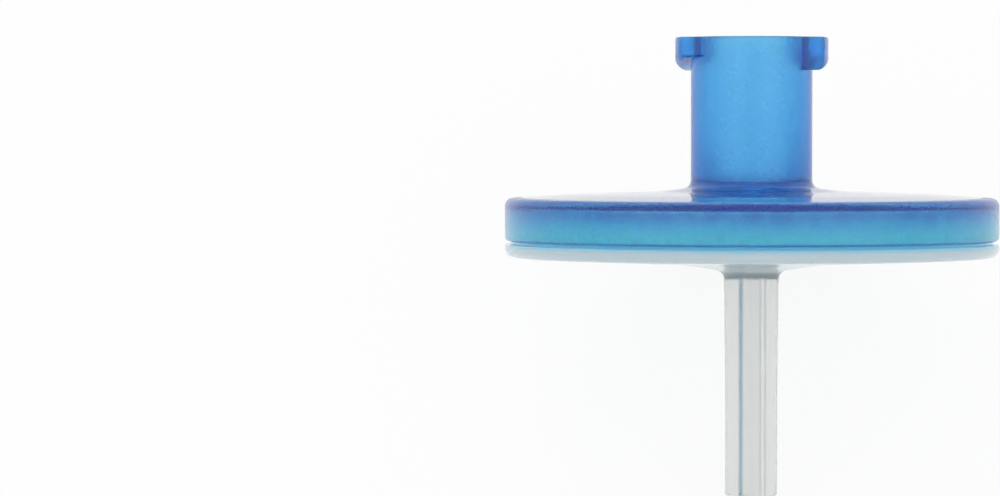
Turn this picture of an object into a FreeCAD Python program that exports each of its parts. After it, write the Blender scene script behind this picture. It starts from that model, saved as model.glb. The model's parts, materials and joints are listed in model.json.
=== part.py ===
import FreeCAD, Part
import math
import os

# A 25 mm syringe filter: a blue inlet housing with a locking Luer socket and a clear outlet
# housing with a tube outlet, welded at the rim, with a membrane disc clamped between them.
#
# Each piece is drawn about the filter's own axis, in millimetres. Height 0 is the seam, where
# the skirt sits on the outlet housing, the inlet is up, and the lugs lie along X. The filter is
# then laid down as it rests, on its rim and its outlet tip, with the inlet up and towards -Y.

# Disc, seen from outside
disc_diameter = 25.0
skirt_height = 2.15            # from the seam to the edge of the top face
shoulder_width = 3.50          # outer part of the top face, from the rim
shoulder_rise = 0.21           # how far it climbs
plate_rise = 0.14              # how far the top face climbs from there to the hub's boss
hub_boss_width = 1.65          # steeper part of the top face round the hub
hub_boss_rise = 0.21
flange_height = 0.65           # outlet housing's rim, below the seam groove
underside_drop = 0.39          # how far the underside falls from the rim to the outlet's boss
outlet_boss_diameter = 7.60    # steeper part of the underside round the outlet tube
outlet_boss_drop = 0.36
groove_height = 0.15           # seam groove between the two rims
groove_depth = 0.30
rim_top_round = 0.40
rim_bottom_round = 0.45
skirt_edge_round = 0.20        # along the skirt's lower edge
groove_edge_round = 0.08       # along the groove's other edges
shoulder_blend = 60.0          # radii that blend the slopes of the faces
boss_blend = 10.0

# Weld at the rim
skirt_wall = 1.13
weld_ring_width = 1.63         # upstand of the outlet housing, inside the skirt
weld_skin = 0.45               # inlet housing over the weld ring
weld_clearance = 0.02          # each side of the weld ring

# Chamber and membrane
plate_thickness = 0.77         # inlet plate at the rim
clamp_width = 1.76             # land that presses on the membrane's edge
chamber_depth = 0.95           # from the inlet plate down to the membrane
bead_width = 0.30              # ring on the land that bites into the membrane
bead_height = 0.06
bead_inset = 0.74              # from the chamber's edge to the bead
membrane_thickness = 0.15
membrane_gap = 0.32            # from the membrane's edge to the weld ring, when centred
membrane_shift = 0.28          # how far off centre the membrane lies
drain_depth = 0.30             # drain under the membrane

# Ribs on the inlet plate and in the drain
rib_width = 0.64
rib_pitch = 1.205
rib_height = 0.60              # on the inlet plate
rib_edge_gap = 0.64            # from the outermost rib to the chamber's edge
rib_corner_round = 0.20
spoke_count = 8                # radial gaps between the ribs
spoke_width = 0.82
hub_rib_overlap = 0.10         # how far the innermost rib may reach in under the hub's wall
drain_rib_gap = 0.50           # from the outlet's mouth to the innermost rib, in the drain

# Inlet hub with its Luer socket
hub_diameter = 6.15
hub_fillet = 0.42
hub_edge_round = 0.10
socket_mouth_diameter = 4.30
socket_taper = 0.06            # on the diameter
socket_depth = 7.45
socket_mouth_chamfer = 0.09
socket_floor_thickness = 1.05
target_diameter = 3.00         # raised round in the middle of the socket's floor
target_height = 0.10
well_diameter = 4.60           # shallow well in the inlet plate, under the socket's floor
well_depth = 0.45
window_count = 4               # in the socket's floor, round the target
window_inner_radius = 1.55
window_wall_gap = 0.03         # from the windows to the socket's wall
window_width = 0.90

# Lugs at the hub's mouth
lug_depth = 0.80               # beyond the hub
lug_tip_width = 2.84           # straight across, at the outer face
lug_end_draft = 25.0           # each end leans in from the hub to the outer face
lug_height = 1.36              # at the middle of the lug
lug_rise = 0.72                # from one end of the underside to the other
lug_corner_round = 0.28        # along the lower edge
lug_edge_round = 0.12          # along the ends and the top edge

# Outlet tube
outlet_tip_diameter = 2.64
outlet_tip_length = 5.0        # straight end
outlet_base_diameter = 2.78
outlet_length = 11.39          # below the disc
outlet_bore_diameter = 1.00
outlet_mouth_diameter = 1.80   # countersink in the drain
outlet_tip_round = 0.20
outlet_fillet = 0.50

# Radii
disc_radius = disc_diameter / 2
hub_radius = hub_diameter / 2
lug_radius = hub_radius + lug_depth
shoulder_radius = disc_radius - shoulder_width
hub_boss_radius = hub_radius + hub_boss_width
outlet_boss_radius = outlet_boss_diameter / 2
skirt_inner_radius = disc_radius - skirt_wall
weld_outer_radius = skirt_inner_radius - weld_clearance
weld_inner_radius = weld_outer_radius - weld_ring_width
spigot_radius = weld_inner_radius - weld_clearance
chamber_radius = spigot_radius - clamp_width
bead_radius = chamber_radius + bead_inset
membrane_radius = weld_inner_radius - membrane_gap
outlet_tip_radius = outlet_tip_diameter / 2
outlet_base_radius = outlet_base_diameter / 2
outlet_bore_radius = outlet_bore_diameter / 2
outlet_mouth_radius = outlet_mouth_diameter / 2
socket_mouth_radius = socket_mouth_diameter / 2
socket_floor_radius = socket_mouth_radius - socket_taper * socket_depth / 2
target_radius = target_diameter / 2
well_radius = well_diameter / 2

# Heights along the axis
rim_top = skirt_height
shoulder_top = rim_top + shoulder_rise
hub_boss_edge = shoulder_top + plate_rise
plate_top = hub_boss_edge + hub_boss_rise
chamber_roof = rim_top - plate_thickness
membrane_top = chamber_roof - chamber_depth
membrane_bottom = membrane_top - membrane_thickness
drain_floor = membrane_bottom - drain_depth
weld_top = rim_top - weld_skin
well_roof = chamber_roof + well_depth
socket_floor = well_roof + socket_floor_thickness
target_top = socket_floor + target_height
hub_top = socket_floor + socket_depth
groove_bottom = -groove_height
flange_bottom = groove_bottom - flange_height
outlet_boss_edge = flange_bottom - underside_drop
underside = outlet_boss_edge - outlet_boss_drop
outlet_tip = underside - outlet_length

along_axis = FreeCAD.Vector(0, 0, 1)
across = FreeCAD.Vector(1, 0, 0)
centre = FreeCAD.Vector(0, 0, 0)
overshoot = 1.0                # how far a cutting tool runs past what it cuts


def in_section(r, z):
    """A point at a radius and a height of the section, which lies in the XZ plane."""
    return FreeCAD.Vector(r, 0, z)


def rounded_corner(before, corner, after, radius):
    """The arc that rounds a corner of a section: its start, middle, end and centre."""
    to_before = (before - corner).normalize()
    to_after = (after - corner).normalize()
    half_angle = to_before.getAngle(to_after) / 2
    inwards = (to_before + to_after).normalize()
    reach = radius / math.tan(half_angle)
    arc_centre = corner + inwards * (radius / math.sin(half_angle))
    middle = arc_centre - inwards * radius
    return corner + to_before * reach, middle, corner + to_after * reach, arc_centre


def revolved(corners):
    """A solid turned about the axis, from a section's corners as (radius, height, rounding)."""
    points = [in_section(r, z) for r, z, rounding in corners]
    starts, ends, arcs = [], [], []
    for i, (r, z, rounding) in enumerate(corners):
        start = end = points[i]
        arc = None
        if rounding:
            after = points[(i + 1) % len(points)]
            start, middle, end, arc_centre = rounded_corner(points[i - 1], points[i], after, rounding)
            arc = Part.Arc(start, middle, end).toShape()
        starts.append(start)
        ends.append(end)
        arcs.append(arc)
    edges = []
    for i, arc in enumerate(arcs):
        edges.append(Part.LineSegment(ends[i - 1], starts[i]).toShape())
        if arc:
            edges.append(arc)
    return Part.Face(Part.Wire(edges)).revolve(centre, along_axis, 360)


def cylinder(radius, bottom, top):
    return Part.makeCylinder(radius, top - bottom, in_section(0, bottom), along_axis)


def ring(inner_radius, outer_radius, bottom, top):
    return cylinder(outer_radius, bottom, top).cut(cylinder(inner_radius, bottom, top))


def one_solid(shape):
    """The single solid of a shape, with faces that lie in one surface merged."""
    solid, = shape.removeSplitter().Solids
    return solid


def all_round(shape, count):
    """Copies of a shape, evenly spaced about the axis."""
    copies = [shape.copy() for i in range(count)]
    for i, copy in enumerate(copies):
        copy.rotate(centre, along_axis, 360.0 * i / count)
    return copies


def radial_bar(inner_radius, outer_radius, width, bottom, top):
    """A straight bar along X, between two radii."""
    corner = FreeCAD.Vector(inner_radius, -width / 2, bottom)
    return Part.makeBox(outer_radius - inner_radius, width, top - bottom, corner)


def is_upright(edge):
    return abs(edge.tangentAt(edge.FirstParameter).z) > 0.99


def ribs(least_radius, bottom, top):
    """Rings of ribs from the chamber's edge in to the least radius, parted by the spokes."""
    spoke = radial_bar(0, disc_radius, spoke_width, bottom - overshoot, top + overshoot)
    spokes = all_round(spoke, spoke_count)
    outer_radius = chamber_radius - rib_edge_gap
    found = []
    while outer_radius - rib_width > least_radius:
        parted = ring(outer_radius - rib_width, outer_radius, bottom, top).cut(spokes)
        for rib in parted.Solids:
            found.append(rib.makeFillet(rib_corner_round, [e for e in rib.Edges if is_upright(e)]))
        outer_radius -= rib_pitch
    return found


def outer_edges(lug):
    """The edges of a lug's outer face: its lower edge, and the other three."""
    lower, rest = [], []
    for edge in lug.Edges:
        middle = edge.valueAt((edge.FirstParameter + edge.LastParameter) / 2)
        if math.hypot(middle.x, middle.y) < lug_radius - 0.001:
            continue
        if is_upright(edge) or middle.z > hub_top - 0.001:
            rest.append(edge)
        else:
            lower.append(edge)
    return lower, rest


def lug_end(side):
    """The end face of the lug on +X, towards +Y for side 1 and towards -Y for side -1."""
    draft = math.radians(lug_end_draft)
    half_width = lug_tip_width / 2
    tip = math.sqrt(lug_radius**2 - half_width**2)
    from_axis = tip * math.sin(draft) + half_width * math.cos(draft)
    root = from_axis * math.sin(draft)
    bottom = hub_top - lug_height + side * lug_rise / 2
    points = []
    for x, z in ((root, bottom), (lug_radius, bottom), (lug_radius, hub_top), (root, hub_top)):
        y = half_width + (tip - x) * math.tan(draft)
        points.append(FreeCAD.Vector(x, side * y, z))
    return Part.makePolygon(points + points[:1])


def lugs():
    """Two locking lugs. The underside of each slopes from end to end, as a right-hand thread does."""
    lug = Part.makeLoft([lug_end(-1), lug_end(1)], True, True)
    lug = lug.common(cylinder(lug_radius, plate_top, hub_top))
    lower, rest = outer_edges(lug)
    lug = lug.makeFillet(lug_corner_round, lower)
    lower, rest = outer_edges(lug)
    return all_round(lug.makeFillet(lug_edge_round, rest), 2)


def socket():
    """The Luer socket's hollow: a cone with a chamfered mouth, and the windows in its floor."""
    hollow = revolved([
        (0, target_top, 0),
        (target_radius, target_top, 0),
        (target_radius, socket_floor, 0),
        (socket_floor_radius, socket_floor, 0),
        (socket_mouth_radius, hub_top, 0),
        (socket_mouth_radius, hub_top + overshoot, 0),
        (0, hub_top + overshoot, 0),
    ])
    chamfer = Part.makeCone(
        socket_mouth_radius,
        socket_mouth_radius + socket_mouth_chamfer + overshoot,
        socket_mouth_chamfer + overshoot,
        in_section(0, hub_top - socket_mouth_chamfer),
        along_axis,
    )
    bottom, top = chamber_roof - overshoot, socket_floor + overshoot
    bar = radial_bar(0, socket_floor_radius, window_width, bottom, top)
    window = bar.common(ring(window_inner_radius, socket_floor_radius - window_wall_gap, bottom, top))
    return [hollow, chamfer] + all_round(window, window_count)


def inlet_housing():
    bead_outer_radius = bead_radius + bead_width
    body = revolved([
        (0, well_roof, 0),
        (well_radius, well_roof, 0),
        (well_radius, chamber_roof, 0),
        (chamber_radius, chamber_roof, 0),
        (chamber_radius, membrane_top, 0),
        (bead_radius, membrane_top, 0),
        (bead_radius, membrane_top - bead_height, 0),
        (bead_outer_radius, membrane_top - bead_height, 0),
        (bead_outer_radius, membrane_top, 0),
        (spigot_radius, membrane_top, 0),
        (spigot_radius, weld_top, 0),
        (skirt_inner_radius, weld_top, 0),
        (skirt_inner_radius, 0, 0),
        (disc_radius, 0, skirt_edge_round),
        (disc_radius, rim_top, rim_top_round),
        (shoulder_radius, shoulder_top, shoulder_blend),
        (hub_boss_radius, hub_boss_edge, boss_blend),
        (hub_radius, plate_top, hub_fillet),
        (hub_radius, hub_top, hub_edge_round),
        (0, hub_top, 0),
    ])
    inlet_ribs = ribs(hub_radius - hub_rib_overlap, chamber_roof - rib_height, chamber_roof)
    return one_solid(body.fuse(lugs() + inlet_ribs).cut(socket()))


def membrane():
    """A disc that lies a little off centre. The land's bead is pressed into its upper face."""
    disc = cylinder(membrane_radius, membrane_bottom, membrane_top)
    disc.translate(FreeCAD.Vector(0, -membrane_shift, 0))
    bead = ring(bead_radius, bead_radius + bead_width, membrane_top - bead_height, membrane_top)
    return one_solid(disc.cut(bead))


def outlet_housing():
    step_radius = disc_radius - groove_depth
    body = revolved([
        (0, outlet_tip, 0),
        (outlet_tip_radius, outlet_tip, outlet_tip_round),
        (outlet_tip_radius, outlet_tip + outlet_tip_length, 0),
        (outlet_base_radius, underside, outlet_fillet),
        (outlet_boss_radius, outlet_boss_edge, boss_blend),
        (disc_radius, flange_bottom, rim_bottom_round),
        (disc_radius, groove_bottom, groove_edge_round),
        (step_radius, groove_bottom, 0),
        (step_radius, 0, 0),
        (weld_outer_radius, 0, 0),
        (weld_outer_radius, weld_top, 0),
        (weld_inner_radius, weld_top, 0),
        (weld_inner_radius, membrane_bottom, 0),
        (chamber_radius, membrane_bottom, 0),
        (chamber_radius, drain_floor, 0),
        (0, drain_floor, 0),
    ])
    bore = cylinder(outlet_bore_radius, outlet_tip - overshoot, drain_floor + overshoot)
    mouth_depth = outlet_mouth_radius - outlet_bore_radius
    mouth = Part.makeCone(
        outlet_bore_radius,
        outlet_mouth_radius,
        mouth_depth,
        in_section(0, drain_floor - mouth_depth),
        along_axis,
    )
    drain_ribs = ribs(outlet_mouth_radius + drain_rib_gap, drain_floor, membrane_bottom)
    return one_solid(body.fuse(drain_ribs).cut([bore, mouth]))


def resting_place(pieces):
    """Where the filter lies, on the rounds of its rim and its outlet tip."""
    rim = rounded_corner(
        in_section(outlet_boss_radius, outlet_boss_edge),
        in_section(disc_radius, flange_bottom),
        in_section(disc_radius, groove_bottom),
        rim_bottom_round,
    )[3]
    tip = rounded_corner(
        in_section(0, outlet_tip),
        in_section(outlet_tip_radius, outlet_tip),
        in_section(outlet_tip_radius, outlet_tip + outlet_tip_length),
        outlet_tip_round,
    )[3]
    between = rim - tip
    # The ground touches both rounds. Its normal leans from the line between their centres.
    turn = math.acos((outlet_tip_round - rim_bottom_round) / between.Length)
    down = math.atan2(between.z, between.x) - turn
    height = rim.x * math.cos(down) + rim.z * math.sin(down) + rim_bottom_round

    # The lowest side of the rim is at +Y of the axis frame before the half turn about the axis.
    lean = math.degrees(down) + 90
    half_turn = FreeCAD.Rotation(along_axis, 180)
    tilt = FreeCAD.Rotation(across, lean)
    place = FreeCAD.Placement(FreeCAD.Vector(0, 0, height), tilt.multiply(half_turn))
    print("the axis stands", round(90 - lean, 3), "degrees above the ground")

    laid = Part.makeCompound(pieces)
    laid.Placement = place
    box = laid.optimalBoundingBox(False, False)
    print("lowest point", round(box.ZMin, 5), "sizes", box.XLength, box.YLength, box.ZLength)
    place.Base.y -= (box.YMin + box.YMax) / 2
    return place


def main():
    pieces = {
        "inlet_housing": inlet_housing(),
        "membrane": membrane(),
        "outlet_housing": outlet_housing(),
    }
    place = resting_place(list(pieces.values()))
    os.makedirs("parts", exist_ok=True)
    for name, piece in pieces.items():
        print(name, piece.isValid(), len(piece.Solids), round(piece.Volume, 2))
        piece.Placement = place
        piece.exportStep("parts/" + name + ".step")


main()
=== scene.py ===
import json
import math

import bmesh
import bpy
from mathutils import Matrix, Vector


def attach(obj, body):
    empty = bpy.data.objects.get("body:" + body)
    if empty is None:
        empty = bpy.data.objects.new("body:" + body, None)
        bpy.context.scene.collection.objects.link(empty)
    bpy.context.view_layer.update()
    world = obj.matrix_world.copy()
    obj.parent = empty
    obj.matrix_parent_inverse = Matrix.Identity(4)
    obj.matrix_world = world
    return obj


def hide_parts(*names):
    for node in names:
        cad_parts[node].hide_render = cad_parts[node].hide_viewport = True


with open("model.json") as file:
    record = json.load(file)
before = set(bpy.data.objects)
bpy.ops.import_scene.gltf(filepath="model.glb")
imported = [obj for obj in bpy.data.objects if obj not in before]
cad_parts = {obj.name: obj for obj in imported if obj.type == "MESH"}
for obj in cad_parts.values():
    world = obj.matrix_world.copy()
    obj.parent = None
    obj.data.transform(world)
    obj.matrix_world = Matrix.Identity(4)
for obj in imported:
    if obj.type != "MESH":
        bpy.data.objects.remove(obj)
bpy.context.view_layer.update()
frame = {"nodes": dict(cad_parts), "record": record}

print("loaded", len(frame["nodes"]), "pieces of the syringe filter")

# Sizes are millimetres and degrees in the filter's own frame: height 0 is the seam between the
# two housings, heights grow towards the inlet, and the lugs lie along X.
mm = 0.001
skin = 0.01                  # air left between faces that touch
sharpAngle = 32              # faces that meet at more than this keep a sharp edge
mergeDistance = 0.0005       # closes a turned section on itself and on the axis

disc = {
    "radius": 12.5,
    "rimTop": 2.15,
    "shoulderRadius": 9.0,   # the top face climbs in three slopes
    "shoulderTop": 2.36,
    "bossRadius": 4.725,
    "bossEdge": 2.50,
    "plateTop": 2.71,        # where it meets the hub
    "shoulderBlend": 60.0,   # radii that blend the slopes
    "bossBlend": 10.0,
    "topRound": 0.40,
    "skirtEdgeRound": 0.20,
    "chamberRoof": 1.38,
    "chamberRadius": 7.94,
    "spigotRadius": 9.70,
    "landBottom": 0.43,      # presses on the membrane
    "seatTop": 0.28,         # the membrane lies on this
    "beadInner": 8.68,
    "beadWidth": 0.30,
    "beadHeight": 0.06,
    "weldTop": 1.70,
    "weldInner": 9.72,
    "weldOuter": 11.35,
    "skirtInner": 11.37,
    "segments": 256,         # round the axis
}

hub = {
    "radius": 3.075,
    "top": 10.33,
    "fillet": 0.42,
    "mouthRadius": 2.15,
    "mouthChamfer": 0.09,
    "floorRadius": 1.9265,
    "floor": 2.88,
    "targetRadius": 1.50,
    "targetHeight": 0.10,
    "wellRadius": 2.30,
    "wellDepth": 0.45,
}


def restingMatrix():
    # from the filter's own frame in millimetres to where it lies, in metres
    inlet = next(mount for mount in frame["record"]["mounts"] if mount["name"] == "inlet_luer")
    axis = Vector(inlet["axis"]).normalized()
    right = Vector((-1, 0, 0))
    turn = Matrix((right, axis.cross(right), axis)).transposed()
    seam = Vector(inlet["pos_m"]) - axis * hub["top"] * mm
    return Matrix.Translation(seam) @ turn.to_4x4() @ Matrix.Scale(mm, 4)


resting = restingMatrix()

# Sections and meshes


def sectionPoints(corners, steps=8):
    # the points of a section from its corners, (radius, height, rounding), with arcs at the roundings
    points = []
    for i, (r, z, rounding) in enumerate(corners):
        corner = Vector((r, z))
        if not rounding:
            points.append(corner)
            continue
        before = (Vector(corners[i - 1][:2]) - corner).normalized()
        after = (Vector(corners[(i + 1) % len(corners)][:2]) - corner).normalized()
        half = before.angle(after) / 2
        centre = corner + (before + after).normalized() * rounding / math.sin(half)
        start = corner + before * rounding / math.tan(half) - centre
        sweep = start.angle_signed(corner + after * rounding / math.tan(half) - centre)
        for step in range(steps + 1):
            points.append(centre + Matrix.Rotation(-sweep * step / steps, 2) @ start)
    return points


def meshObject(name, verts, edges=(), faces=()):
    mesh = bpy.data.meshes.new(name)
    mesh.from_pydata([tuple(v) for v in verts], list(edges), list(faces))
    obj = bpy.data.objects.new(name, mesh)
    bpy.context.scene.collection.objects.link(obj)
    return obj


def removed(obj):
    mesh = obj.data
    bpy.data.objects.remove(obj)
    bpy.data.meshes.remove(mesh)


def applied(obj):
    # what the modifiers make of an object becomes its plain mesh
    bpy.context.view_layer.update()
    evaluated = obj.evaluated_get(bpy.context.evaluated_depsgraph_get())
    mesh = bpy.data.meshes.new_from_object(evaluated)
    obj.modifiers.clear()
    old, obj.data = obj.data, mesh
    bpy.data.meshes.remove(old)
    mesh.name = obj.name
    return obj


def outwards(obj):
    # faces of a closed shape turned to point outwards
    bm = bmesh.new()
    bm.from_mesh(obj.data)
    bmesh.ops.recalc_face_normals(bm, faces=bm.faces)
    if bm.calc_volume(signed=True) < 0:
        bmesh.ops.reverse_faces(bm, faces=bm.faces)
    bm.to_mesh(obj.data)
    bm.free()
    return obj


# Geometry Nodes


def newTree(name, sockets):
    tree = bpy.data.node_groups.new(name, "GeometryNodeTree")
    tree.interface.new_socket("Geometry", in_out="INPUT", socket_type="NodeSocketGeometry")
    for label, kind in sockets:
        tree.interface.new_socket(label, in_out="INPUT", socket_type="NodeSocket" + kind)
    tree.interface.new_socket("Geometry", in_out="OUTPUT", socket_type="NodeSocketGeometry")
    return tree, tree.nodes.new("NodeGroupInput"), tree.nodes.new("NodeGroupOutput")


def put(tree, kind, links=(), **settings):
    # a node with its settings and with sockets or plain values put into its inputs
    node = tree.nodes.new(kind)
    for key, value in settings.items():
        setattr(node, key, value)
    for key, value in dict(links).items():
        socket = node.inputs[key]
        if isinstance(value, bpy.types.NodeSocket):
            tree.links.new(value, socket)
        else:
            socket.default_value = value
    return node


def reckon(tree, operation, *values):
    return put(tree, "ShaderNodeMath", enumerate(values), operation=operation).outputs[0]


def finishTree(tree, groupIn, groupOut, geometry):
    real = put(tree, "GeometryNodeRealizeInstances", {"Geometry": geometry})
    painted = put(tree, "GeometryNodeSetMaterial", {
        "Geometry": real.outputs[0],
        "Material": groupIn.outputs["Material"],
    })
    tree.links.new(painted.outputs[0], groupOut.inputs[0])


def makeTurnedTree():
    # a section in the XZ plane, as a chain of edges, turned about the axis
    sockets = [("Segments", "Int"), ("Merge Distance", "Float"), ("Material", "Material")]
    tree, groupIn, groupOut = newTree("turned about the axis", sockets)
    section = groupIn.outputs["Geometry"]
    size = put(tree, "GeometryNodeAttributeDomainSize", {"Geometry": section})
    rows = reckon(tree, "ADD", size.outputs["Edge Count"], 1)      # a closed chain comes back to its start
    columns = reckon(tree, "ADD", groupIn.outputs["Segments"], 1)
    grid = put(tree, "GeometryNodeMeshGrid", {"Vertices X": rows, "Vertices Y": columns})
    index = put(tree, "GeometryNodeInputIndex").outputs[0]
    row = reckon(tree, "FLOOR", reckon(tree, "DIVIDE", reckon(tree, "ADD", index, 0.5), columns))
    column = reckon(tree, "SUBTRACT", index, reckon(tree, "MULTIPLY", row, columns))
    place = put(tree, "GeometryNodeInputPosition").outputs[0]
    point = put(tree, "GeometryNodeSampleIndex", {
        "Geometry": section,
        "Index": reckon(tree, "MODULO", row, size.outputs["Point Count"]),
    }, data_type="FLOAT_VECTOR")
    vectorIn = [s for s in point.inputs if s.name == "Value" and s.enabled][0]
    tree.links.new(place, vectorIn)
    sampled = [s for s in point.outputs if s.enabled][0]
    angle = reckon(tree, "MULTIPLY", column, reckon(tree, "DIVIDE", math.tau, groupIn.outputs["Segments"]))
    turned = put(tree, "ShaderNodeVectorRotate", {"Vector": sampled, "Angle": angle}, rotation_type="Z_AXIS")
    bent = put(tree, "GeometryNodeSetPosition", {
        "Geometry": grid.outputs["Mesh"],
        "Position": turned.outputs[0],
    })
    merged = put(tree, "GeometryNodeMergeByDistance", {
        "Geometry": bent.outputs[0],
        "Distance": groupIn.outputs["Merge Distance"],
    })
    finishTree(tree, groupIn, groupOut, merged.outputs[0])
    return tree


def makeAroundTree():
    # copies of a shape, evenly spaced about the axis
    tree, groupIn, groupOut = newTree("around the axis", [("Count", "Int"), ("Material", "Material")])
    points = put(tree, "GeometryNodePoints", {"Count": groupIn.outputs["Count"]})
    index = put(tree, "GeometryNodeInputIndex").outputs[0]
    angle = reckon(tree, "MULTIPLY", index, reckon(tree, "DIVIDE", math.tau, groupIn.outputs["Count"]))
    turn = put(tree, "ShaderNodeCombineXYZ", {"Z": angle})
    copies = put(tree, "GeometryNodeInstanceOnPoints", {
        "Points": points.outputs[0],
        "Instance": groupIn.outputs["Geometry"],
        "Rotation": turn.outputs[0],
    })
    finishTree(tree, groupIn, groupOut, copies.outputs[0])
    return tree


barPoints = (29, 13)         # along and across each bar, before it is bent


def makeRibTree():
    # rings of bars bent about the axis. Each bar ends at a spoke, parallel to it, with round corners
    sockets = [
        ("Outer Radius", "Float"), ("Rings", "Int"), ("Pitch", "Float"), ("Width", "Float"),
        ("Spokes", "Int"), ("Spoke Width", "Float"), ("Corner Round", "Float"),
        ("Bottom", "Float"), ("Top", "Float"), ("Material", "Material"),
    ]
    tree, groupIn, groupOut = newTree("rings of ribs", sockets)
    given = groupIn.outputs

    bars = reckon(tree, "MULTIPLY", given["Rings"], given["Spokes"])
    points = put(tree, "GeometryNodePoints", {"Count": bars})
    index = put(tree, "GeometryNodeInputIndex").outputs[0]
    ring = reckon(tree, "FLOOR", reckon(tree, "DIVIDE", reckon(tree, "ADD", index, 0.5), given["Spokes"]))
    spokeAngle = reckon(tree, "DIVIDE", math.tau, given["Spokes"])
    bar = reckon(tree, "SUBTRACT", index, reckon(tree, "MULTIPLY", ring, given["Spokes"]))
    middle = reckon(tree, "MULTIPLY", reckon(tree, "ADD", bar, 0.5), spokeAngle)
    edge = reckon(tree, "SUBTRACT", given["Outer Radius"], reckon(tree, "MULTIPLY", ring, given["Pitch"]))
    shape = points.outputs[0]
    for name, value in (("middle angle", middle), ("outer edge", edge)):
        stored = put(tree, "GeometryNodeStoreNamedAttribute", {"Geometry": shape, "Name": name})
        tree.links.new(value, [s for s in stored.inputs if s.name == "Value" and s.enabled][0])
        shape = stored.outputs[0]

    block = put(tree, "GeometryNodeMeshCube", {
        "Size": (2, 2, 1), "Vertices X": barPoints[0], "Vertices Y": barPoints[1], "Vertices Z": 2,
    })
    copies = put(tree, "GeometryNodeInstanceOnPoints", {"Points": shape, "Instance": block.outputs["Mesh"]})
    real = put(tree, "GeometryNodeRealizeInstances", {"Geometry": copies.outputs[0]})

    named = {}
    for name in ("middle angle", "outer edge"):
        read = put(tree, "GeometryNodeInputNamedAttribute", {"Name": name}, data_type="FLOAT")
        named[name] = [s for s in read.outputs if s.enabled][0]
    local = put(tree, "ShaderNodeSeparateXYZ", {"Vector": put(tree, "GeometryNodeInputPosition").outputs[0]})
    halfWidth = reckon(tree, "MULTIPLY", given["Width"], 0.5)
    across = reckon(tree, "SINE", reckon(tree, "MULTIPLY", local.outputs["Y"], math.pi / 2))
    radius = reckon(tree, "ADD", reckon(tree, "SUBTRACT", named["outer edge"], halfWidth),
                    reckon(tree, "MULTIPLY", across, halfWidth))
    halfSpoke = reckon(tree, "MULTIPLY", given["Spoke Width"], 0.5)
    spokeSide = reckon(tree, "ARCSINE", reckon(tree, "DIVIDE", halfSpoke, radius))
    reach = reckon(tree, "SUBTRACT", reckon(tree, "MULTIPLY", spokeAngle, 0.5), spokeSide)
    offMiddle = reckon(tree, "MULTIPLY", reckon(tree, "ABSOLUTE", across), halfWidth)
    fromSide = reckon(tree, "SUBTRACT", halfWidth, offMiddle)
    inCorner = reckon(tree, "MAXIMUM", reckon(tree, "SUBTRACT", given["Corner Round"], fromSide), 0.0)
    drop = reckon(tree, "SQRT", reckon(tree, "SUBTRACT", reckon(tree, "POWER", given["Corner Round"], 2.0),
                                       reckon(tree, "POWER", inCorner, 2.0)))
    inset = reckon(tree, "DIVIDE", reckon(tree, "SUBTRACT", given["Corner Round"], drop), radius)
    along = reckon(tree, "MULTIPLY", local.outputs["X"], reckon(tree, "SUBTRACT", reach, inset))
    angle = reckon(tree, "ADD", named["middle angle"], along)
    height = put(tree, "ShaderNodeMapRange", {
        "Value": local.outputs["Z"], "From Min": -0.5, "From Max": 0.5,
        "To Min": given["Bottom"], "To Max": given["Top"],
    }).outputs[0]
    bent = put(tree, "ShaderNodeCombineXYZ", {
        "X": reckon(tree, "MULTIPLY", radius, reckon(tree, "COSINE", angle)),
        "Y": reckon(tree, "MULTIPLY", radius, reckon(tree, "SINE", angle)),
        "Z": height,
    })
    placed = put(tree, "GeometryNodeSetPosition", {"Geometry": real.outputs[0], "Position": bent.outputs[0]})
    finishTree(tree, groupIn, groupOut, placed.outputs[0])
    return tree


turnedTree = makeTurnedTree()
aroundTree = makeAroundTree()
ribTree = makeRibTree()


def throughTree(obj, tree, values):
    # runs a tree on an object and keeps the result as a plain mesh
    modifier = obj.modifiers.new(tree.name, "NODES")
    modifier.node_group = tree
    for item in tree.interface.items_tree:
        if item.in_out == "INPUT" and item.name in values:
            modifier[item.identifier] = values[item.name]
    return outwards(applied(obj))


def turnedPiece(name, corners, material, closed=False, steps=8):
    points = sectionPoints(corners, steps)
    edges = [(i, i + 1) for i in range(len(points) - 1)]
    if closed:
        edges.append((len(points) - 1, 0))
    obj = meshObject(name, [(p.x, 0, p.y) for p in points], edges)
    values = {"Segments": disc["segments"], "Merge Distance": mergeDistance, "Material": material}
    return throughTree(obj, turnedTree, values)


def combined(obj, other, operation):
    modifier = obj.modifiers.new(operation, "BOOLEAN")
    modifier.operation = operation
    modifier.solver = "EXACT"
    modifier.object = other
    applied(obj)
    removed(other)
    return obj


def laidDown(obj, body="root", node=None):
    # smooth shading, the filter's resting place, and the piece's part in the frame
    obj.data.transform(resting)
    obj.data.shade_smooth()
    obj.data.set_sharp_from_angle(angle=math.radians(sharpAngle))
    weighted = obj.modifiers.new("weighted", "WEIGHTED_NORMAL")
    weighted.keep_sharp = True
    applied(obj)
    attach(obj, body)
    if node:
        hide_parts(node)
    print("made", obj.name, "with", len(obj.data.polygons), "faces")
    return obj


# Materials


def newMaterial(name):
    material = bpy.data.materials.new(name)
    material.use_nodes = True
    material.node_tree.nodes.clear()
    return material, material.node_tree


def ownCoordinates(tree):
    # Object coordinates turned and scaled to the filter's own frame, in millimetres
    coordinates = put(tree, "ShaderNodeTexCoord").outputs["Object"]
    place, turn, size = resting.decompose()
    return put(tree, "ShaderNodeMapping", {
        "Vector": coordinates,
        "Location": place,
        "Rotation": turn.to_euler(),
        "Scale": size,
    }, vector_type="TEXTURE").outputs[0]


broadGrain = 0.12               # scale of the broad noise, as a share of the fine one's


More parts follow.
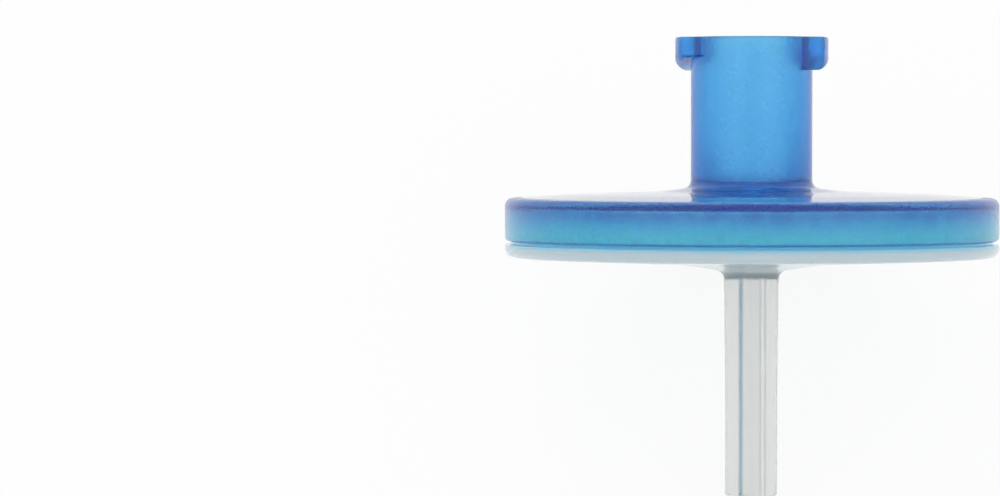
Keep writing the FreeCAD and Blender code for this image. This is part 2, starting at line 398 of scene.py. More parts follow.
def makeGrainGroup():
    # fine moulded grain: a height for a Bump node and a roughness that wanders with it
    group = bpy.data.node_groups.new("moulded grain", "ShaderNodeTree")
    for name, kind in (("Vector", "Vector"), ("Scale", "Float"), ("Roughness", "Float"), ("Wander", "Float")):
        group.interface.new_socket(name, in_out="INPUT", socket_type="NodeSocket" + kind)
    for name in ("Height", "Roughness"):
        group.interface.new_socket(name, in_out="OUTPUT", socket_type="NodeSocketFloat")
    given = group.nodes.new("NodeGroupInput").outputs
    result = group.nodes.new("NodeGroupOutput")
    fine = put(group, "ShaderNodeTexNoise", {
        "Vector": given["Vector"], "Scale": given["Scale"], "Detail": 2.0,
    })
    broadScale = reckon(group, "MULTIPLY", given["Scale"], broadGrain)
    broad = put(group, "ShaderNodeTexNoise", {
        "Vector": given["Vector"], "Scale": broadScale, "Detail": 3.0,
    })
    group.links.new(fine.outputs[0], result.inputs["Height"])
    offset = reckon(group, "MULTIPLY", reckon(group, "SUBTRACT", broad.outputs[0], 0.5), given["Wander"])
    group.links.new(reckon(group, "ADD", given["Roughness"], offset), result.inputs["Roughness"])
    return group


grainGroup = makeGrainGroup()


def grained(tree, values, roughness, strength):
    # the roughness and the normal of a moulded surface
    grain = put(tree, "ShaderNodeGroup", node_tree=grainGroup)
    tree.links.new(ownCoordinates(tree), grain.inputs["Vector"])
    tree.links.new(roughness, grain.inputs["Roughness"])
    grain.inputs["Scale"].default_value = values["grainSize"]
    grain.inputs["Wander"].default_value = values["wander"]
    bump = put(tree, "ShaderNodeBump", {
        "Height": grain.outputs["Height"], "Strength": strength, "Distance": values["grainDepth"] * mm,
    })
    return grain.outputs["Roughness"], bump.outputs[0]


def plasticShader(tree, values, colour, transmission, rough, strength):
    roughness, normal = grained(tree, values, rough, strength)
    return put(tree, "ShaderNodeBsdfPrincipled", {
        "Base Color": colour,
        "Roughness": roughness,
        "IOR": values["ior"],
        "Normal": normal,
        "Transmission Weight": transmission,
        "Subsurface Weight": 1.0,
        "Subsurface Radius": values["scatterRadius"],
        "Subsurface Scale": values["scatterReach"],
    })


def smoothStep(tree, value, low, high, start=0.0, end=1.0):
    return put(tree, "ShaderNodeMapRange", {
        "Value": value, "From Min": low, "From Max": high, "To Min": start, "To Max": end,
    }, interpolation_type="SMOOTHSTEP").outputs[0]


def within(tree, value, low, high, soft):
    # 1 between two values, fading to 0 outside them
    rising = smoothStep(tree, value, low - soft, low)
    return reckon(tree, "MULTIPLY", rising, smoothStep(tree, value, high, high + soft, 1.0, 0.0))


def places(tree, own):
    # how far a point lies from the filter's axis, its height along it, and its X and Y
    axes = put(tree, "ShaderNodeSeparateXYZ", {0: own}).outputs
    squares = reckon(tree, "ADD", reckon(tree, "POWER", axes["X"], 2.0),
                     reckon(tree, "POWER", axes["Y"], 2.0))
    return reckon(tree, "SQRT", squares), axes["Z"], axes["X"], axes["Y"]


def noiseAbout(tree, own, size, detail=6.0):
    # clouds that wander about 0
    noise = put(tree, "ShaderNodeTexNoise", {
        "Vector": own, "Scale": size, "Detail": detail, "Roughness": 0.65,
    })
    return reckon(tree, "SUBTRACT", noise.outputs[0], 0.5)


def mixedValue(tree, share, first, second):
    return put(tree, "ShaderNodeMix", {0: share, 2: first, 3: second}).outputs[0]


def mixedColour(tree, share, first, second):
    return put(tree, "ShaderNodeMix", {0: share, 6: first, 7: second}, data_type="RGBA").outputs[2]


bluePlastic = {
    "roughness": 0.20,          # of the hub and the skirt
    "discRoughness": 0.05,
    "discGrain": 0.08,
    "discShare": 0.07,
    "discInner": 3.3,           # the disc's plate and ribs are smooth and clear between these radii
    "discOuter": 11.6,
    "discFade": 0.2,
    "wander": 0.03,
    "ior": 1.49,
    "clearColour": (1.0, 1.0, 1.0, 1),
    "bodyColour": (0.04, 0.40, 0.85, 1),
    "bodyShare": 0.10,          # light that the pigment scatters, at each surface
    "socketPaintedGlowColour": (0.20, 0.85, 1.0, 1),
    "socketShare": 0.15,
    "socketRadius": 2.20,       # inside this, above its height, is the socket's wall, painted paler cyan as a glow for light shining through the hub
    "socketHeight": 2.95,
    "lugColour": (0.03, 0.30, 0.75, 1),
    "lugShare": 0.45,
    "lugRadius": 3.10,          # the lugs are denser outwards between these radii, above this height
    "lugFull": 3.75,
    "lugHeight": 8.0,
    "footPaintedLightColour": (0.05, 0.36, 0.75, 1),
    "footShare": 0.35,
    "footRadius": 3.6,          # the hub's foot lies inside this and between these heights; it is brightened with painted light where it sits in shade
    "footLow": 2.50,
    "footHigh": 2.95,
    "footFade": 0.1,
    "ribColour": (0.02, 0.12, 0.48, 1),
    "ribShare": 0.75,
    "ribInner": 2.3,            # the ribs' walls lie between these radii and between these heights
    "ribReach": 8.0,
    "ribLow": 0.80,
    "ribHigh": 1.36,
    "ribFade": 0.01,
    "skirtPaintedLightColour": (0.01, 0.08, 0.38, 1),
    "skirtPaintedGlowColour": (0.10, 0.76, 1.0, 1),
    "skirtShare": 0.42,
    "skirtRadius": 12.2,
    "skirtLow": 0.30,           # painted light: the skirt is painted paler towards its lower edge, a glow from the clear ring beneath, and darker above it, painted shade, between these heights
    "skirtHigh": 1.95,
    "skirtWander": 0.9,         # how far the paler part wanders up and down
    "weldColour": (1.0, 0.95, 1.0, 1),
    "weldShare": 0.90,
    "weldInner": 11.2,          # the skirt's inner wall is frosted by the weld, up to this height
    "weldOuter": 11.5,
    "weldTop": 1.60,
    "edgeShadeColour": (0.03, 0.22, 0.42, 1),
    "edgeShare": 0.6,
    "edgeRadius": 12.33,
    "edgeLow": 0.07,            # height of the painted shadow along the skirt's lower edge, a dark line for the groove's shade
    "edgeHigh": 0.20,
    "knitColour": (0.40, 0.80, 0.95, 1),
    "knitShare": 0.22,
    "knitWidth": 0.02,          # where the plastic met in the mould, half its width
    "knitFade": 0.06,
    "knitReach": 8.5,
    "cloudSize": 1.1,           # of the clouds in the pigment
    "cloudDepth": 0.8,
    "speckSize": 5.0,
    "speckDepth": 0.35,
    "scatterRadius": (0.3, 0.7, 1.0),
    "scatterReach": 0.003,
    "tint": (0.12, 0.72, 0.94, 1),
    "density": 1250.0,          # per metre
    "grainSize": 7.0,
    "grainDepth": 0.012,
}


def makeBluePlastic():
    material, tree = newMaterial("blue plastic")
    own = ownCoordinates(tree)
    radius, height, x, y = places(tree, own)
    cloud = noiseAbout(tree, own, bluePlastic["cloudSize"])
    speck = noiseAbout(tree, own, bluePlastic["speckSize"], 2.0)

    atDisc = reckon(tree, "MULTIPLY", reckon(tree, "LESS_THAN", height, bluePlastic["lugHeight"]),
                    within(tree, radius, bluePlastic["discInner"], bluePlastic["discOuter"],
                           bluePlastic["discFade"]))
    rough = mixedValue(tree, atDisc, bluePlastic["roughness"], bluePlastic["discRoughness"])
    grain = mixedValue(tree, atDisc, 1.0, bluePlastic["discGrain"])
    share = mixedValue(tree, atDisc, bluePlastic["bodyShare"], bluePlastic["discShare"])

    atLug = reckon(tree, "MULTIPLY",
                   smoothStep(tree, radius, bluePlastic["lugRadius"], bluePlastic["lugFull"]),
                   reckon(tree, "GREATER_THAN", height, bluePlastic["lugHeight"]))
    bodyColour = mixedColour(tree, atLug, bluePlastic["bodyColour"], bluePlastic["lugColour"])
    share = mixedValue(tree, atLug, share, bluePlastic["lugShare"])

    # painted light: the socket's wall is painted a paler cyan, a glow for light shining through the hub
    inSocket = reckon(tree, "MULTIPLY", reckon(tree, "LESS_THAN", radius, bluePlastic["socketRadius"]),
                      reckon(tree, "GREATER_THAN", height, bluePlastic["socketHeight"]))
    bodyColour = mixedColour(tree, inSocket, bodyColour, bluePlastic["socketPaintedGlowColour"])
    share = mixedValue(tree, inSocket, share, bluePlastic["socketShare"])

    # painted light: the hub's foot, in shade where it meets the plate, is given a brighter scattering body
    footLevel = within(tree, height, bluePlastic["footLow"], bluePlastic["footHigh"], bluePlastic["footFade"])
    atFootPaintedLight = reckon(tree, "MULTIPLY", footLevel, reckon(tree, "LESS_THAN", radius, bluePlastic["footRadius"]))
    bodyColour = mixedColour(tree, atFootPaintedLight, bodyColour, bluePlastic["footPaintedLightColour"])
    share = mixedValue(tree, atFootPaintedLight, share, bluePlastic["footShare"])

    fade = bluePlastic["ribFade"]
    onRib = reckon(tree, "MULTIPLY",
                   within(tree, height, bluePlastic["ribLow"], bluePlastic["ribHigh"], fade),
                   within(tree, radius, bluePlastic["ribInner"], bluePlastic["ribReach"], fade))
    bodyColour = mixedColour(tree, onRib, bodyColour, bluePlastic["ribColour"])
    share = mixedValue(tree, onRib, share, bluePlastic["ribShare"])

    # painted light on the skirt: a painted glow towards its lower edge and painted shade above it
    wandering = reckon(tree, "MULTIPLY_ADD", cloud, bluePlastic["skirtWander"], height)
    up = smoothStep(tree, wandering, bluePlastic["skirtLow"], bluePlastic["skirtHigh"])
    skirtPaintedLightColour = mixedColour(tree, up, bluePlastic["skirtPaintedGlowColour"], bluePlastic["skirtPaintedLightColour"])
    atSkirt = reckon(tree, "GREATER_THAN", radius, bluePlastic["skirtRadius"])
    bodyColour = mixedColour(tree, atSkirt, bodyColour, skirtPaintedLightColour)
    share = mixedValue(tree, atSkirt, share, bluePlastic["skirtShare"])
    atWeld = reckon(tree, "MULTIPLY", reckon(tree, "GREATER_THAN", radius, bluePlastic["weldInner"]),
                    reckon(tree, "LESS_THAN", radius, bluePlastic["weldOuter"]))
    atWeld = reckon(tree, "MULTIPLY", atWeld, reckon(tree, "LESS_THAN", height, bluePlastic["weldTop"]))
    bodyColour = mixedColour(tree, atWeld, bodyColour, bluePlastic["weldColour"])
    share = mixedValue(tree, atWeld, share, bluePlastic["weldShare"])
    # painted shadow: a dark line along the skirt's lower edge, above the groove
    atEdgeShade = reckon(tree, "MULTIPLY", reckon(tree, "GREATER_THAN", radius, bluePlastic["edgeRadius"]),
                    smoothStep(tree, height, bluePlastic["edgeLow"], bluePlastic["edgeHigh"], 1.0, 0.0))
    bodyColour = mixedColour(tree, atEdgeShade, bodyColour, bluePlastic["edgeShadeColour"])
    share = mixedValue(tree, atEdgeShade, share, bluePlastic["edgeShare"])

    clouded = reckon(tree, "MULTIPLY_ADD", cloud, bluePlastic["cloudDepth"], 1.0)
    specked = reckon(tree, "MULTIPLY_ADD", speck, bluePlastic["speckDepth"], clouded)
    share = reckon(tree, "MULTIPLY", share, specked)

    knit = within(tree, x, -bluePlastic["knitWidth"], bluePlastic["knitWidth"], bluePlastic["knitFade"])
    knit = reckon(tree, "MULTIPLY", knit, reckon(tree, "GREATER_THAN", y, 0.0))
    knit = reckon(tree, "MULTIPLY", knit, reckon(tree, "LESS_THAN", radius, bluePlastic["knitReach"]))
    bodyColour = mixedColour(tree, knit, bodyColour, bluePlastic["knitColour"])
    share = mixedValue(tree, knit, share, bluePlastic["knitShare"])

    clearPart = plasticShader(tree, bluePlastic, bluePlastic["clearColour"], 1.0, rough, grain)
    body = plasticShader(tree, bluePlastic, bodyColour, 0.0, rough, grain)
    plastic = put(tree, "ShaderNodeMixShader", {0: share, 1: clearPart.outputs[0], 2: body.outputs[0]})
    absorption = put(tree, "ShaderNodeVolumeAbsorption", {
        "Color": bluePlastic["tint"], "Density": bluePlastic["density"],
    })
    put(tree, "ShaderNodeOutputMaterial", {"Surface": plastic.outputs[0], "Volume": absorption.outputs[0]})
    return material


clearPlastic = {
    "roughness": 0.12,
    "boreRoughness": 0.06,
    "wander": 0.04,
    "ior": 1.49,
    "clearColour": (0.90, 0.905, 0.90, 1),
    "tubeColour": (0.55, 0.57, 0.565, 1),
    "tubeShare": 0.20,          # light that the plastic scatters, at each surface
    # the disc's milky body is its own; its cyan tint is painted light, blue light bled from the blue housing
    # above
    "discMilkAndBlueLightColour": (0.60, 0.75, 0.80, 1),
    "discShare": 0.70,
    "discStart": 1.33,          # the tube turns into the disc between these radii
    "discEnd": 1.80,
    "scatterRadius": (0.9, 1.0, 1.0),
    "scatterReach": 0.003,
    "tint": (0.76, 0.80, 0.80, 1),
    "density": 60.0,
    "grainSize": 14.0,
    "grainDepth": 0.003,
    "boreRadius": 0.7,          # the bore is smooth and clear inside this
    "boreShare": 0.02,
    "paintedBoreShadeStreaks": (                # painted shade along the bore's two edges, dark lines for dark reflections inside the tube: angles about the axis, share, colour
        (44, 66, 0.75, (0.16, 0.32, 0.44, 1)),
        (-100, -76, 0.60, (0.32, 0.31, 0.34, 1)),
    ),
    "streakFade": 5,
    "weldRadius": 9.6,          # outside this the plastic is frosted by the weld
    "weldBottom": -0.10,
    "weldTop": 0.10,
    "weldShare": 0.95,
    "weldColour": (0.97, 1.0, 1.0, 1),
    "seamColour": (0.30, 0.68, 0.92, 1),
    "seamShare": 0.80,
    "seamBottom": -0.40,        # blue melted into the clear plastic above this height
    "seamTop": -0.18,
    "seamWander": 0.35,
    "seamRadius": 12.0,
    "cloudSize": 1.3,
    "blotchFrom": 0.14,         # clouds past this are blotches of the same blue
    "blotchTo": 0.24,
    "blotchShare": 0.5,
}


def makeClearPlastic():
    material, tree = newMaterial("clear plastic")
    own = ownCoordinates(tree)
    radius, height, x, y = places(tree, own)
    cloud = noiseAbout(tree, own, clearPlastic["cloudSize"])
    onBore = reckon(tree, "LESS_THAN", radius, clearPlastic["boreRadius"])
    clearColour = clearPlastic["clearColour"]

    # the disc's body carries painted light: a cyan tint for blue light from the housing above
    isDisc = smoothStep(tree, radius, clearPlastic["discStart"], clearPlastic["discEnd"])
    bodyColour = mixedColour(tree, isDisc, clearPlastic["tubeColour"], clearPlastic["discMilkAndBlueLightColour"])
    share = mixedValue(tree, isDisc, clearPlastic["tubeShare"], clearPlastic["discShare"])
    share = mixedValue(tree, onBore, share, clearPlastic["boreShare"])

    outside = reckon(tree, "GREATER_THAN", radius, clearPlastic["weldRadius"])
    frosted = reckon(tree, "MULTIPLY", outside,
                     smoothStep(tree, height, clearPlastic["weldBottom"], clearPlastic["weldTop"]))
    bodyColour = mixedColour(tree, frosted, bodyColour, clearPlastic["weldColour"])
    share = mixedValue(tree, frosted, share, clearPlastic["weldShare"])

    wandering = reckon(tree, "MULTIPLY_ADD", cloud, clearPlastic["seamWander"], height)
    atSeam = smoothStep(tree, wandering, clearPlastic["seamBottom"], clearPlastic["seamTop"])
    blotched = smoothStep(tree, cloud, clearPlastic["blotchFrom"], clearPlastic["blotchTo"],
                          0.0, clearPlastic["blotchShare"])
    stained = reckon(tree, "MULTIPLY", reckon(tree, "MAXIMUM", atSeam, blotched),
                     reckon(tree, "GREATER_THAN", radius, clearPlastic["seamRadius"]))
    bodyColour = mixedColour(tree, stained, bodyColour, clearPlastic["seamColour"])
    clearColour = mixedColour(tree, stained, clearColour, clearPlastic["seamColour"])
    share = mixedValue(tree, stained, share, clearPlastic["seamShare"])

    # painted shade: dark streaks down the bore's edges, standing in for dark reflections inside the tube
    angle = reckon(tree, "ARCTAN2", reckon(tree, "MULTIPLY", x, -1.0), reckon(tree, "MULTIPLY", y, -1.0))
    fade = math.radians(clearPlastic["streakFade"])
    for start, end, strength, colour in clearPlastic["paintedBoreShadeStreaks"]:
        paintedShadeStreak = within(tree, angle, math.radians(start), math.radians(end), fade)
        paintedShadeStreak = reckon(tree, "MULTIPLY", paintedShadeStreak, onBore)
        bodyColour = mixedColour(tree, paintedShadeStreak, bodyColour, colour)
        share = mixedValue(tree, paintedShadeStreak, share, strength)

    grain = reckon(tree, "SUBTRACT", 1.0, onBore)
    rough = mixedValue(tree, onBore, clearPlastic["roughness"], clearPlastic["boreRoughness"])
    clearPart = plasticShader(tree, clearPlastic, clearColour, 1.0, rough, grain)
    body = plasticShader(tree, clearPlastic, bodyColour, 0.0, rough, grain)
    plastic = put(tree, "ShaderNodeMixShader", {0: share, 1: clearPart.outputs[0], 2: body.outputs[0]})
    absorption = put(tree, "ShaderNodeVolumeAbsorption", {
        "Color": clearPlastic["tint"], "Density": clearPlastic["density"],
    })
    put(tree, "ShaderNodeOutputMaterial", {"Surface": plastic.outputs[0], "Volume": absorption.outputs[0]})
    return material


filterPaper = {"colour": (0.86, 0.86, 0.85, 1), "roughness": 0.9, "fibreSize": 9.0, "fibreDepth": 0.02}


def makeFilterPaper():
    material, tree = newMaterial("filter membrane")
    own = ownCoordinates(tree)
    fibre = put(tree, "ShaderNodeTexNoise", {"Vector": own, "Scale": filterPaper["fibreSize"], "Detail": 6.0})
    bump = put(tree, "ShaderNodeBump", {
        "Height": fibre.outputs[0], "Strength": 1.0, "Distance": filterPaper["fibreDepth"] * mm,
    })
    paper = put(tree, "ShaderNodeBsdfPrincipled", {
        "Base Color": filterPaper["colour"], "Roughness": filterPaper["roughness"], "Normal": bump.outputs[0],
    })
    put(tree, "ShaderNodeOutputMaterial", {"Surface": paper.outputs[0]})
    return material


blue = makeBluePlastic()
clear = makeClearPlastic()
paper = makeFilterPaper()

# Inlet housing

ribs = {
    "Outer Radius": 7.30, "Rings": 4, "Pitch": 1.205, "Width": 0.64,
    "Spokes": 8, "Spoke Width": 0.82, "Corner Round": 0.20,
}
inletRibHeight = 0.60
ribRoot = 0.10                  # sunk into the plate
ribEdge = 0.10

lug = {
    "outer": 3.875,
    "inner": 2.85,              # inside the hub's wall
    "tipWidth": 2.84,           # straight across, at the outer face
    "endDraft": 25.0,           # each end leans in from the hub to the outer face
    "height": 1.36,             # at the middle
    "rise": 0.72,               # of the underside, from end to end
    "cornerRound": 0.28,        # lower edge
    "edgeRound": 0.12,
    "below": 0.01,              # the lugs' top lies this far below the hub's
    "stations": 17,
}

window = {"count": 4, "inner": 1.55, "outer": 1.8965, "width": 0.90, "cornerRound": 0.08}


def acrossLug(radius, share):
    # the point at a radius, that share of the way from the lug's middle to its end
    lean = math.tan(math.radians(lug["endDraft"]))
    half = lug["tipWidth"] / 2
    apex = half + math.sqrt(lug["outer"]**2 - half**2) * lean
    spread = 1 + (share * lean)**2
    x = (share**2 * apex * lean + math.sqrt(radius**2 * spread - (share * apex)**2)) / spread
    return x, share * (apex - x * lean)


def makeLug():
    endShare = lug["edgeRound"] / (lug["tipWidth"] / 2)
    stations = []                                   # (share of the half width, inset of the section)
    for side in (-1, 1):
        for step in range(4):
            turn = math.pi / 2 * step / 4
            share = side * (1 - endShare * (1 - math.cos(turn)))
            stations.append((share, lug["edgeRound"] * (1 - math.sin(turn))))
    for i in range(lug["stations"]):
        stations.append(((1 - endShare) * (2 * i / (lug["stations"] - 1) - 1), 0))
    stations.sort()
    bm = bmesh.new()
    loops = []
    top = hub["top"] - lug["below"]
    for share, inset in stations:
        bottom = hub["top"] - lug["height"] + lug["rise"] / 2 * share + inset
        outer = lug["outer"] - inset
        section = sectionPoints([
            (lug["inner"], bottom, 0),
            (outer, bottom, lug["cornerRound"] - inset),
            (outer, top - inset, lug["edgeRound"]),
            (lug["inner"], top - inset, 0),
        ], 6)
        loops.append([bm.verts.new((*acrossLug(p.x, share), p.y)) for p in section])
    count = len(loops[0])
    for a, b in zip(loops, loops[1:]):
        for i in range(count):
            j = (i + 1) % count
            bm.faces.new((a[i], a[j], b[j], b[i]))
    bm.faces.new(loops[0])
    bm.faces.new(reversed(loops[-1]))
    mesh = bpy.data.meshes.new("lugs")
    bm.to_mesh(mesh)
    bm.free()
    obj = bpy.data.objects.new("lugs", mesh)
    bpy.context.scene.collection.objects.link(obj)
    return throughTree(obj, aroundTree, {"Count": 2, "Material": blue})


def makeWindows():
    # the cutters of the windows in the socket's floor: arcs with sides parallel to their radius
    low, high = disc["chamberRoof"] - 1, hub["floor"] + 0.6
    halfWidth = window["width"] / 2
    outline = []
    for radius, sign in ((window["inner"], -1), (window["outer"], 1)):
        reach = math.asin(halfWidth / radius)
        outline.extend((radius, sign * reach * (i / 6 * 2 - 1)) for i in range(7))
    verts = [(r * math.cos(a), r * math.sin(a), z) for z in (low, high) for r, a in outline]
    count = len(outline)
    sides = [(i, (i + 1) % count, (i + 1) % count + count, i + count) for i in range(count)]
    faces = sides + [tuple(range(count))[::-1], tuple(range(count, 2 * count))]
    obj = meshObject("windows", verts, faces=faces)
    bevelled(obj, window["cornerRound"])
    return throughTree(obj, aroundTree, {"Count": window["count"], "Material": blue})


def bevelled(obj, width, segments=2, angle=40):
    bevel = obj.modifiers.new("bevel", "BEVEL")
    bevel.width = width
    bevel.segments = segments
    bevel.limit_method = "ANGLE"
    bevel.angle_limit = math.radians(angle)
    return applied(obj)


def makeRibs(bottom, top, material):
    obj = meshObject("ribs", [(0, 0, 0)])
    values = dict(ribs, Bottom=bottom, Top=top, Material=material)
    return bevelled(throughTree(obj, ribTree, values), ribEdge)


def makeInletHousing():
    beadOuter = disc["beadInner"] + disc["beadWidth"]
    mouthDrop = hub["mouthChamfer"]
    wellRoof = disc["chamberRoof"] + hub["wellDepth"]
    housing = turnedPiece("inletHousing", [
        (0, wellRoof, 0),
        (hub["wellRadius"], wellRoof, 0.10),
        (hub["wellRadius"], disc["chamberRoof"], 0.08),
        (disc["chamberRadius"], disc["chamberRoof"], 0.12),
        (disc["chamberRadius"], disc["landBottom"], 0.06),
        (disc["beadInner"], disc["landBottom"], 0),
        (disc["beadInner"], disc["landBottom"] - disc["beadHeight"], 0.02),
        (beadOuter, disc["landBottom"] - disc["beadHeight"], 0.02),
        (beadOuter, disc["landBottom"], 0),
        (disc["spigotRadius"], disc["landBottom"], 0.08),
        (disc["spigotRadius"], disc["weldTop"] + skin, 0.05),
        (disc["skirtInner"], disc["weldTop"] + skin, 0.05),
        (disc["skirtInner"], skin, 0.05),
        (disc["radius"], skin, disc["skirtEdgeRound"]),
        (disc["radius"], disc["rimTop"], disc["topRound"]),
        (disc["shoulderRadius"], disc["shoulderTop"], disc["shoulderBlend"]),
        (disc["bossRadius"], disc["bossEdge"], disc["bossBlend"]),
        (hub["radius"], disc["plateTop"], hub["fillet"]),
        (hub["radius"], hub["top"], 0.10),
        (hub["mouthRadius"] + mouthDrop, hub["top"], 0.03),
        (hub["mouthRadius"], hub["top"] - mouthDrop, 0.03),
        (hub["floorRadius"], hub["floor"], 0.12),
        (hub["targetRadius"], hub["floor"], 0.03),
        (hub["targetRadius"], hub["floor"] + hub["targetHeight"], 0.05),
        (0, hub["floor"] + hub["targetHeight"], 0),
    ], blue)
    roof = disc["chamberRoof"]
    combined(housing, makeLug(), "UNION")
    combined(housing, makeRibs(roof - inletRibHeight, roof + ribRoot, blue), "UNION")
    combined(housing, makeWindows(), "DIFFERENCE")
    return laidDown(housing, node="inlet_housing")


makeInletHousing()

# Membrane

membrane = {"radius": 9.40, "shift": 0.28, "edgeRound": 0.04}


def makeMembrane():
    low, high = disc["seatTop"] + skin, disc["landBottom"] - skin
    sheet = turnedPiece("membraneDisc", [
        (0, low, 0),
        (membrane["radius"], low, membrane["edgeRound"]),
        (membrane["radius"], high, membrane["edgeRound"]),
        (0, high, 0),
    ], paper)
    sheet.data.transform(Matrix.Translation((0, -membrane["shift"], 0)))
    grooveLow = disc["landBottom"] - disc["beadHeight"] - skin
    groove = turnedPiece("groove", [
        (disc["beadInner"] - skin, grooveLow, 0.02),
        (disc["beadInner"] + disc["beadWidth"] + skin, grooveLow, 0.02),
        (disc["beadInner"] + disc["beadWidth"] + skin, high + 0.1, 0),
        (disc["beadInner"] - skin, high + 0.1, 0),
    ], paper, closed=True)
    combined(sheet, groove, "DIFFERENCE")
    return laidDown(sheet, node="membrane")


makeMembrane()

# Outlet housing

outlet = {
    "grooveBottom": -0.15,
    "grooveRadius": 12.2,
    "flangeBottom": -0.80,
    "flangeRound": 0.45,
    "bossRadius": 3.80,
    "bossEdge": -1.19,
    "underside": -1.55,
    "tip": -12.94,
    "tipRadius": 1.32,
    "tipRound": 0.20,
    "straight": 5.0,
    "baseRadius": 1.39,
    "fillet": 0.50,
    "drainFloor": -0.02,
    "bore": 0.5,
    "mouth": 0.9,
}


def makeOutletHousing():
    housing = turnedPiece("outletHousing", [
        (outlet["tipRadius"], outlet["tip"], outlet["tipRound"]),
        (outlet["tipRadius"], outlet["tip"] + outlet["straight"], 0),
        (outlet["baseRadius"], outlet["underside"], outlet["fillet"]),
        (outlet["bossRadius"], outlet["bossEdge"], disc["bossBlend"]),
        (disc["radius"], outlet["flangeBottom"], outlet["flangeRound"]),
        (disc["radius"], outlet["grooveBottom"], 0.08),
        (outlet["grooveRadius"], outlet["grooveBottom"], 0.05),
        (outlet["grooveRadius"], 0, 0.03),
        (disc["weldOuter"], 0, 0.05),
        (disc["weldOuter"], disc["weldTop"], 0.08),
        (disc["weldInner"], disc["weldTop"], 0.08),
        (disc["weldInner"], disc["seatTop"], 0.05),
        (disc["chamberRadius"], disc["seatTop"], 0.05),
        (disc["chamberRadius"], outlet["drainFloor"], 0.05),
        (outlet["mouth"], outlet["drainFloor"], 0.05),
        (outlet["bore"], outlet["drainFloor"] - outlet["mouth"] + outlet["bore"], 0.05),
        (outlet["bore"], outlet["tip"], 0.05),
    ], clear, closed=True)
    drainRibs = makeRibs(outlet["drainFloor"] - ribRoot, disc["seatTop"] - skin, clear)
    combined(housing, drainRibs, "UNION")
    return laidDown(housing, node="outlet_housing")


makeOutletHousing()

# Camera

camera = {
    "distance": 243.0,       # from the filter's axis, square to it
    "height": 6.5,           # along the axis, above the seam
    "lens": 172.4,
    "sensor": 36.0,
    "pan": 3.00626,          # turned aside from the axis
    "tilt": 1.62073,         # and down from square to it
}


def makeCamera():
    # aimed beside the filter, so that it stands in the right half of the picture
    data = bpy.data.cameras.new("camera")
    data.lens = camera["lens"]
    data.sensor_width = camera["sensor"]
    data.clip_start = 0.001
    data.clip_end = 20.0
    obj = bpy.data.objects.new("camera", data)
    bpy.context.scene.collection.objects.link(obj)
    bpy.context.scene.camera = obj
    eye = resting @ Vector((0, -camera["distance"], camera["height"]))
    turn = resting.to_3x3().normalized()
    level = Matrix.Rotation(math.radians(90), 3, "X")      # looks along +Y of the filter's frame
    pan = Matrix.Rotation(math.radians(camera["pan"]), 3, "Z")
    tilt = Matrix.Rotation(math.radians(-camera["tilt"]), 3, "X")
    obj.matrix_world = Matrix.Translation(eye) @ (turn @ pan @ level @ tilt).to_4x4()


makeCamera()

# Floor, world and lamps

studio = {
    "floorReach": 2.0,
    "floorColour": (0.94, 0.94, 0.94, 1),
    "backgroundColour": (1.0, 1.0, 1.0, 1),
    "floorGlow": 0.88,           # share of the floor's brightness that casts and takes no shadow
    "fadeStart": 0.10,           # metres from the filter, where the shadow's share fades out
    "fadeEnd": 0.45,
    "ambient": 0.85,
}


def bentRays(tree, path):
    # 1 for rays that have been reflected or have passed through plastic, which see the plain background
    return reckon(tree, "MAXIMUM", path["Is Glossy Ray"], path["Is Transmission Ray"])


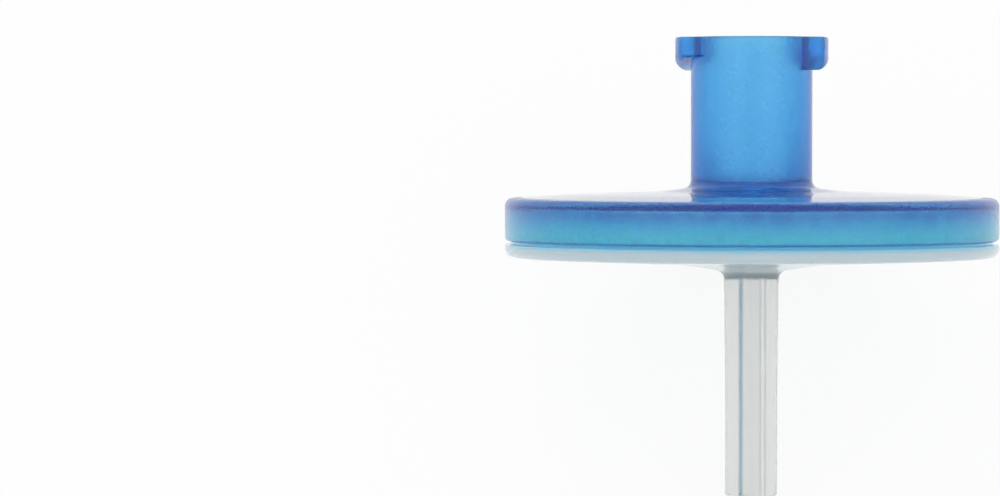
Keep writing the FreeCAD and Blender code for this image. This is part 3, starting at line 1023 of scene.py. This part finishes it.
def makeFloor():
    reach = studio["floorReach"]
    corners = [(-reach, -reach, 0), (reach, -reach, 0), (reach, reach, 0), (-reach, reach, 0)]
    floor = meshObject("floor", corners, faces=[(0, 1, 2, 3)])
    material, tree = newMaterial("floor")
    path = put(tree, "ShaderNodeLightPath").outputs
    place = put(tree, "ShaderNodeTexCoord").outputs["Object"]
    distance = put(tree, "ShaderNodeVectorMath", {0: place}, operation="LENGTH").outputs["Value"]
    glow = smoothStep(tree, distance, studio["fadeStart"], studio["fadeEnd"], studio["floorGlow"], 1.0)
    direct = reckon(tree, "MULTIPLY", glow, path["Is Camera Ray"])
    showing = reckon(tree, "MAXIMUM", direct, bentRays(tree, path))
    matte = put(tree, "ShaderNodeBsdfDiffuse", {"Color": studio["floorColour"]})
    seen = put(tree, "ShaderNodeEmission", {"Color": studio["backgroundColour"], "Strength": 1.0})
    shader = put(tree, "ShaderNodeMixShader", {0: showing, 1: matte.outputs[0], 2: seen.outputs[0]})
    put(tree, "ShaderNodeOutputMaterial", {"Surface": shader.outputs[0]})
    floor.data.materials.append(material)


def makeWorld():
    world = bpy.data.worlds.new("world")
    bpy.context.scene.world = world
    world.use_nodes = True
    tree = world.node_tree
    tree.nodes.clear()
    path = put(tree, "ShaderNodeLightPath").outputs
    showing = reckon(tree, "MAXIMUM", path["Is Camera Ray"], bentRays(tree, path))
    strength = mixedValue(tree, showing, studio["ambient"], 1.0)
    background = put(tree, "ShaderNodeBackground", {
        "Color": studio["backgroundColour"], "Strength": strength,
    })
    put(tree, "ShaderNodeOutputWorld", {"Surface": background.outputs[0]})


lamps = {
    # direction from the filter, distance, width, power
    "leftSoftbox": ((0.643, 0.516, 0.566), 0.45, 0.36, 0.16),
    "rightSoftbox": ((-0.643, 0.516, 0.566), 0.45, 0.36, 0.16),
    "inletSoftbox": ((0.25, -0.60, 0.76), 0.50, 0.35, 0.20),
}


def makeLamps():
    for name, (direction, distance, width, power) in lamps.items():
        data = bpy.data.lights.new(name, "AREA")
        data.shape = "DISK"
        data.size = width
        data.energy = power
        obj = bpy.data.objects.new(name, data)
        bpy.context.scene.collection.objects.link(obj)
        towards = Vector(direction).normalized()
        obj.location = towards * distance
        obj.rotation_euler = towards.to_track_quat("Z", "Y").to_euler()
        obj.visible_glossy = False


makeFloor()
makeWorld()
makeLamps()

scene = bpy.context.scene
scene.view_settings.view_transform = "Standard"
scene.cycles.blur_glossy = 0.0         # or light is lost between the plate and the membrane
scene.cycles.max_bounces = 32
scene.cycles.transmission_bounces = 32
scene.cycles.glossy_bounces = 16
scene.cycles.diffuse_bounces = 6
scene.cycles.transparent_max_bounces = 16
